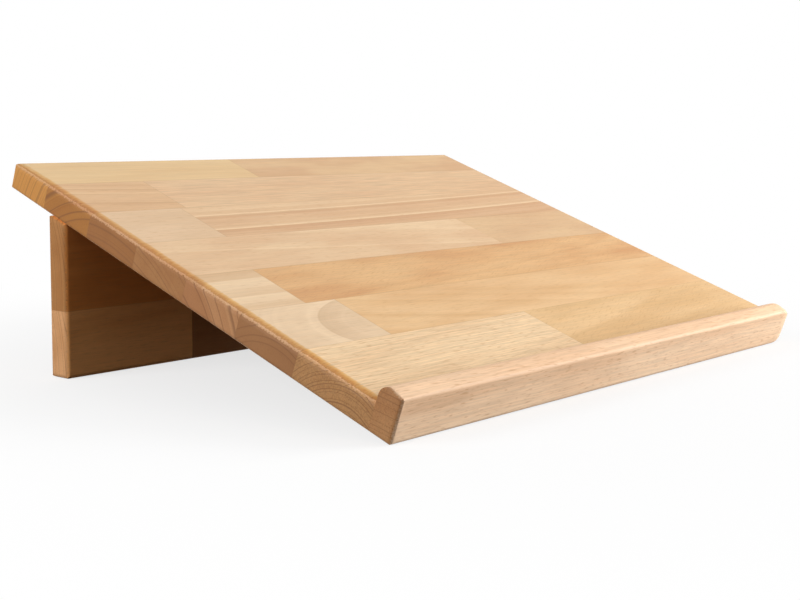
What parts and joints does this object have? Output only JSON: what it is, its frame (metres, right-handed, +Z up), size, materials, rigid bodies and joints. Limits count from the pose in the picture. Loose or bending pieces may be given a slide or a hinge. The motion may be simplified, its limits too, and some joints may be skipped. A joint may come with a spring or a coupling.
{
  "type": "book stand",
  "caption": "Wooden table-top book stand: edge-glued reading board on one upright support, tilted back, with a raised lip along the front.",
  "frame": {"origin": "on the table, under the middle of the stand's box", "axes": "+X along the lip to the reader's right, +Y from the reader to the rear, +Z up"},
  "size_m": [0.45, 0.3462, 0.1384],
  "materials": {
    "beech_straw": "clear matt lacquer",
    "beech_tan": "clear matt lacquer",
    "beech_rose": "clear matt lacquer",
    "dowel_beech": "bare, planed"
  },
  "bodies": {
    "root": {"board_row_1_left": "beech_straw", "board_row_1_right": "beech_tan", "board_row_2_left": "beech_rose", "board_row_2_right": "beech_straw", "board_row_3_left": "beech_rose", "board_row_3_right": "beech_tan", "board_row_4_left": "beech_straw", "board_row_4_right": "beech_straw", "board_row_5_left": "beech_straw", "board_row_5_right": "beech_tan", "board_row_6_left": "beech_rose", "board_row_6_right": "beech_straw", "board_row_7_left": "beech_straw", "board_row_7_right": "beech_straw", "lip_strip": "beech_rose", "support_upper_left": "beech_tan", "support_upper_right": "beech_tan", "support_lower_left": "beech_straw", "support_lower_right": "beech_tan", "lip_dowels": "dowel_beech", "support_dowels": "dowel_beech"}
  },
  "joints": []
}
